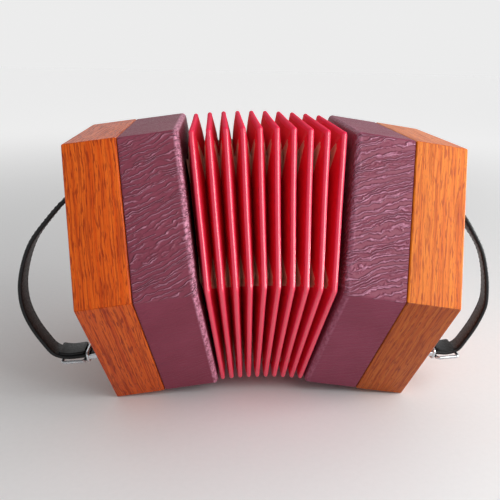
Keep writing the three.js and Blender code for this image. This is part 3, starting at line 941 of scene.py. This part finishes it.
def hand_strap(side):
    """The band with a row of stitches along each edge of both faces."""
    line, where = even(strap_line(side), 1.6)
    tangent, normal = strap_frames(line)
    total = where[-1]
    degrees, begins, complete = STRAP_TURNS[side]

    def twist(at):
        share = max(0.0, min(1.0, (at / total - begins) / (complete - begins)))
        back = max(0.0, min(1.0, (total - at) / (total * 0.22)))
        return math.radians(degrees) * share * share * (3 - 2 * share) * back

    build = Build()
    strap_band(build, line, where, 0.0, STRAP_WIDTH, STRAP_THICKNESS, twist)
    for i in range(3, len(line) - 3, 2):
        flat, turned = unit(twist(where[i]))
        along = np.array([tangent[i][0], 0, tangent[i][1]])
        lift = np.array([normal[i][0] * flat, -turned, normal[i][1] * flat])
        across = np.array([normal[i][0] * turned, flat, normal[i][1] * turned])
        middle = np.array([line[i][0], STRAP_CENTRE, line[i][1]])
        for edge in (-1, 1):
            for face in (-1, 1):
                inwards = across * edge * (STRAP_WIDTH / 2 - 2.0)
                centre = middle + inwards + lift * face * (STRAP_THICKNESS / 2 - 0.02)
                stitch(build, centre, along, across, lift)
    leathers = [strap_leather, strap_thread]
    end_piece(build, side, "hand_strap_leather", leathers, "hand_strap", 50)
    return line


def strap_tail(side):
    """The strap's end comes back through the buckle and lies doubled along its inside, for a short way."""
    line, where = even(strap_line(side), 1.2)
    low = np.nonzero((line[:, 0] > FRAME_END + 11.6) & (line[:, 1] < -43))[0]
    start, end = low[0] + 2, low[-1] + 1
    build = Build()
    offset = -(STRAP_THICKNESS / 2 + 1.05)
    strap_band(build, line[start:end], where[start:end] - where[start], offset, STRAP_WIDTH - 1.2, 1.8)
    end_piece(build, side, "strap_tail", [strap_leather], sharp=50)


def rod_loop(build, points, radius, closed=True):
    """A round rod along points in the end's frame."""
    points = np.array(points, float)
    ahead = np.gradient(points, axis=0)
    if closed:
        ahead = np.roll(points, -1, axis=0) - np.roll(points, 1, axis=0)
    rows = []
    guide = np.array([1.0, 0.2, 0.1])
    for point, tangent in zip(points, direction(ahead)):
        guide = direction(guide - tangent * (guide @ tangent))
        second = np.cross(tangent, guide)
        rows.append([point + (guide * math.cos(a) + second * math.sin(a)) * radius
                     for a in round_turn(10 if closed else 8)])
    build.grid(rows, close_rows=closed, close_columns=True)
    if not closed:
        build.cap(rows[0], flip=True)
        build.cap(rows[-1])


def buckle_frame(build, line):
    """A flat frame with its own tongue lies under the strap, next to the ring."""
    start, length = FRAME_END + 11.9, 14.0
    rod, tongue = 1.0, 0.7
    lower = line[line[:, 1] < BUCKLE_UP + 5][::-1]
    near, far = (np.array([out, np.interp(out, *lower.T)]) for out in (start, start + length))
    along = direction(far - near)
    below = np.array([along[1], -along[0]])

    def spot(distance, across, lift):
        out, up = near + along * distance + below * (STRAP_THICKNESS / 2 + lift)
        return out, STRAP_CENTRE + across, up

    half = STRAP_WIDTH / 2 + 1.4
    outline = rounded_box((0, -half), (length, half), 2.2, 5)
    rod_loop(build, [spot(distance, across, rod + 0.2) for distance, across in outline], rod)
    reach = [spot(length * t, 0, rod + 0.2 + 1.5 * t) for t in (0.0, 0.3, 0.6, 1.0)]
    rod_loop(build, reach, tongue, closed=False)


def buckle(side, line):
    """A foot screwed to the end plate, two cheeks, the ring and its prong, and the flat frame."""
    foot = PLATE_END + CLEARANCE
    ring_level = FRAME_END + 9.5
    half_width = STRAP_WIDTH / 2 + CLEARANCE + 1.0
    half_height = STRAP_THICKNESS / 2 + CLEARANCE + 1.0
    build = Build()

    def at(level, points, share=1.0):
        return [(level, STRAP_CENTRE + back * share, BUCKLE_UP + up * share) for back, up in points]

    ring = rounded_box((-half_width, -half_height), (half_width, half_height), 1.6, 6)
    rod_loop(build, at(ring_level, ring), 1.15)
    for cheek in (-1, 1):
        middle = cheek * (STRAP_WIDTH / 2 + CLEARANCE + 0.9)
        section = rounded_box((middle - 0.9, -1.5), (middle + 0.9, 1.5), 0.5, 3)
        build.grid([at(foot + 0.6, section), at(ring_level, section)], close_columns=True, flip=True)
    plate = rounded_box((-10, -5), (10, 5), 2.5, 5)
    rows = [at(foot, plate), at(foot + 1.1, plate), at(foot + 1.4, plate, 0.965)]
    build.grid(rows, close_columns=True, flip=True)
    build.cap(rows[-1])
    build.cap(rows[0], flip=True)
    for screw in (-1, 1):
        back, up = STRAP_CENTRE + screw * 5.5, BUCKLE_UP + screw * 3.0
        slotted_head(build, back, up, foot + 1.3, 1.3, 0.9 * screw)
    prong = ((0.4, half_height + 0.2), (1.6, 1.8), (2.0, 0), (1.5, -1.8), (0.9, -half_height - 0.6))
    prong = [(ring_level + out, STRAP_CENTRE, BUCKLE_UP + up) for out, up in prong]
    rod_loop(build, prong, 0.75, closed=False)
    buckle_frame(build, line)
    end_piece(build, side, "buckle", [buckle_metal], "strap_buckle")


def strap_screw(side):
    """A washer and a screw fix the strap's upper end to the end plate."""
    up = STRAPS[side][1] - 3.6
    level = PLATE_END + CLEARANCE + STRAP_THICKNESS
    build = Build()
    washer(build, STRAP_CENTRE, up, 3.6, level - 0.15, level + 0.3, level + 0.5)
    slotted_head(build, STRAP_CENTRE, up, level + 0.4, 2.1, 0.7)
    end_piece(build, side, "strap_screw", [steel], sharp=35)


# ---------- bellows ----------
# A fold's section is drawn as (along the axis, depth below the ridge). Its walls spread from the ridge
# down to creases half way into the wedges on both sides of the fold, so folds are fatter at the top.
WALL_TOP = 1.2
TOP_DEPTH = 2.6
CREASE_DEPTH = 21.2
GUSSET_BASE = 12.0
WALL_COLUMNS = 16
CORNER_REACH = 12.0


def crease_along(up):
    """How far the crease at this height lies outside the fold's own plane."""
    return (up + PIVOT_DROP) * math.tan(VALLEY / 2)


def wall_along(depth, up):
    share = max(0.0, min(1.0, (depth - TOP_DEPTH) / (CREASE_DEPTH - TOP_DEPTH)))
    return WALL_TOP - (WALL_TOP + crease_along(up)) * share


def ridge_half(up):
    return 1.5 + 0.13 * (up + BELLOWS_RADIUS) / (2 * BELLOWS_RADIUS)


def cards(fold):
    return f"bellows_card_{fold:02d}a", f"bellows_card_{fold:02d}b"


def wall_rows():
    """Rows of a wall from the crease up: a card panel on each side, and puffed gussets at the corners."""
    rows = []
    for depth in (CREASE_DEPTH, 20, 18, 15.5, 13, 10.5, 8, 6, 4.4, 3.3, TOP_DEPTH):
        radius = BELLOWS_RADIUS - depth
        reach = radius * TAN_30
        share = (CREASE_DEPTH - depth) / (CREASE_DEPTH - TOP_DEPTH)
        gusset = GUSSET_BASE * max(0.05, (depth - 4.0) / (CREASE_DEPTH - 4.0))
        puff = 0.4 * math.sin(math.pi * share) if depth > 4 else 0.0
        row = []
        for outward, onward in HEXAGON:
            spots = [(-reach, 0.0), (-reach + gusset * 0.5, puff), (-reach + gusset * 0.96, 0.1)]
            spots += [(s * (reach - gusset), 0.0) for s in np.linspace(-1, 1, 11)]
            spots += [(reach - gusset * 0.96, 0.1), (reach - gusset * 0.5, puff)]
            for length, raised in spots:
                spot = outward * radius + onward * length
                row.append((wall_along(depth, spot[1]) - raised, spot[0], spot[1]))
        rows.append(row)
    return np.array(rows)


def gusset_or_panel(i, j):
    """Leather gussets close the deep half of the walls' corners."""
    at_corner = min(j % WALL_COLUMNS, WALL_COLUMNS - 1 - j % WALL_COLUMNS) < 3
    return 1 if i < 6 and at_corner else 0


def wall(fold, second):
    """One wall of a fold. It leans from its crease to the ridge."""
    rows = wall_rows()
    low, high = -0.5, 2 * WALL_TOP + 0.5
    if second:
        rows[:, :, 0] = FOLD_PITCH - rows[:, :, 0]
        low, high = FOLD_PITCH - high, FOLD_PITCH - low
    dulled = np.zeros(rows.shape[:2])
    dulled[:, WALL_COLUMNS * TOP_SIDE:WALL_COLUMNS * (TOP_SIDE + 1)] = 0.8
    build = Build()
    build.grid(rows, close_columns=True, flip=second, choose=gusset_or_panel, values=dulled)
    name = f"bellows_wall_{fold:02d}{'b' if second else 'a'}"
    made = build.finish(name, [wall_cloth, gusset_leather], FOLD[fold], 80, "dulled")
    a, b = cards(fold)
    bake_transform(made)
    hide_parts(b if second else a)


def ridge(fold):
    """The binding over a fold's edge: a rounded strip with two skirts that lie on the walls."""
    lip = 5.4
    middle = FOLD_PITCH / 2
    section = [("near", lip), ("near", 3.6)]
    section += [("arc", math.pi * step / 10) for step in range(11)]
    section += [("far", 3.6), ("far", lip), ("inside", 1), ("inside", -1)]
    rows, dulled = [], []
    for kind, value in section:
        depth = value
        if kind == "arc":
            depth = 1.6 * (1 - math.sin(value))
        elif kind == "inside":
            depth = lip - 0.2
        points, sides = hex_loop(BELLOWS_RADIUS - depth, 2.0, 12, 7)
        row = []
        for back, up in points:
            half = ridge_half(up)
            offset = min(middle - wall_along(depth, up) + 0.16, half + 0.1)
            if kind == "arc":
                offset = -half * math.cos(value)
            elif kind == "inside":
                offset = value
            elif kind == "near":
                offset = -offset
            drift = noise.noise(Vector((back * 0.02, up * 0.02, fold * 0.2))) * 0.25
            row.append((middle + offset + drift, back, up))
        rows.append(row)
        dulled.append([1.0 if side == TOP_SIDE else 0.0 for side in sides])
    build = Build()
    build.grid(rows, close_rows=True, close_columns=True, shift=(fold * 0.6, 0), values=dulled)
    made = build.finish(f"bellows_ridge_{fold:02d}", [ridge_cloth], FOLD[fold], 60, "dulled")
    a, b = cards(fold)
    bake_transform(made)
    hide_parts(a)


def valley(index):
    """The crease between two folds or a fold and an end, with the gussets' webs in its six corners."""
    base = BELLOWS_RADIUS - CREASE_DEPTH
    reach = base * TAN_30
    near_corner = [reach - 2, reach - 5, reach - 8, reach - CORNER_REACH, 14, 5]
    lengths = [-reach, *(-length for length in near_corner), *near_corner[::-1]]
    stations = [(outward, onward, length) for outward, onward in HEXAGON for length in lengths]
    rows = []
    for share in (-1, -0.7, -0.3, 0, 0.3, 0.7, 1):
        row = []
        for outward, onward, length in stations:
            corner = max(0.0, 1 - (reach - abs(length)) / CORNER_REACH)
            hump = 3.5 * (corner * corner * (3 - 2 * corner))
            radius = base + hump
            spot = outward * radius + onward * length * radius / base
            up = spot[1]
            gap = wall_along(CREASE_DEPTH - hump, up) + crease_along(up)
            sag = -0.7 * (1 - share * share) * (0.4 + corner)
            spot = outward * (radius + sag) + onward * length * (radius + sag) / base
            row.append((share * (gap + 0.3), spot[0], spot[1]))
        rows.append(row)

    def web(i, j):
        ahead = stations[(j + 1) % len(stations)][2]
        return 1 if reach - min(abs(stations[j][2]), abs(ahead)) <= CORNER_REACH + 0.1 else 0

    build = Build()
    build.grid(rows, close_columns=True, choose=web)
    where = WEDGE[index]
    made = build.finish(f"bellows_valley_{index:02d}", [wall_cloth, gusset_leather], where, 80)
    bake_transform(made)


# ---------- assembly ----------
for side in SIDES:
    casing(side)
    wooden_frame(side)
    end_plate(side)
    felt_rings(side)
    end_bolts(side)
    hand_rail(side)
    strap = hand_strap(side)
    strap_tail(side)
    buckle(side, strap)
    strap_screw(side)
    for number, spec in enumerate(KEYS[side], 1):
        key(side, number, spec)
    for node, look in (("reed_pan", inner_wood), ("reed_plate", brass), ("action_board", inner_wood)):
        carried = frame["nodes"][f"{side}_{node}"]
        carried.data.materials.clear()
        carried.data.materials.append(look)

for fold in range(1, FOLDS + 1):
    wall(fold, False)
    wall(fold, True)
    ridge(fold)
for index in range(FOLDS + 1):
    valley(index)


# ---------- studio ----------
def floor():
    """A pale plain floor that brightens with distance, so that it meets the background without a line."""
    reach = 6.0
    mesh = bpy.data.meshes.new("floor")
    corners = [(-reach, -reach, 0), (reach, -reach, 0), (reach, reach, 0), (-reach, reach, 0)]
    mesh.from_pydata(corners, [], [(0, 1, 2, 3)])
    n = material("floor", Roughness=0.8, Specular_IOR_Level=0.2, Emission_Color=(1, 1, 1, 1))
    where = n.coordinates("Object")
    far = n.node("VectorMath", {0: where}, operation="LENGTH").outputs["Value"]
    n.set("Base Color", n.mix(n.noise(where, 300, 3), (0.8, 0.8, 0.8), (0.84, 0.84, 0.84)))
    n.set("Emission Strength", n.level(far, 0.25, 1.4, 0.0, 0.4, smooth=True))
    mesh.materials.append(n.owner)
    made = show("floor", mesh)
    made.location.z = -0.0003


def room():
    """The room is pale at the horizon. Overhead it is darker in front of the object than behind it."""
    n = Nodes(bpy.data.worlds.new("studio"), "Background", Color=(1, 1, 1, 1))
    view = n.node("TexCoord").outputs["Generated"]
    front = n.level(n.dot(view, (0.35, 0.9, 0.1)), -0.3, 0.9, 0.56, 0.0, smooth=True)
    overhead = n.level(n.dot(view, (0, 0, 1)), 0.06, 0.4, smooth=True)
    n.set("Strength", n.math("SUBTRACT", 0.84, n.math("MULTIPLY", front, overhead)))
    bpy.context.scene.world = n.owner


def lamp(name, energy, size, spot):
    """A soft square lamp that faces the middle of the object."""
    data = bpy.data.lights.new(name, "AREA")
    data.energy = energy
    data.size = size
    made = show(name, data)
    made.matrix_world = look_from(spot, Vector((0, 0, 0.09)) - Vector(spot), (0, 0, 1))
    made.visible_camera = False


floor()
room()
lamp("key", 2.1, 0.4, (0.32, -0.37, 0.46))
lamp("strip", 12.0, 0.45, (1.1, -0.05, 0.12))
bpy.context.scene.view_settings.view_transform = "Standard"
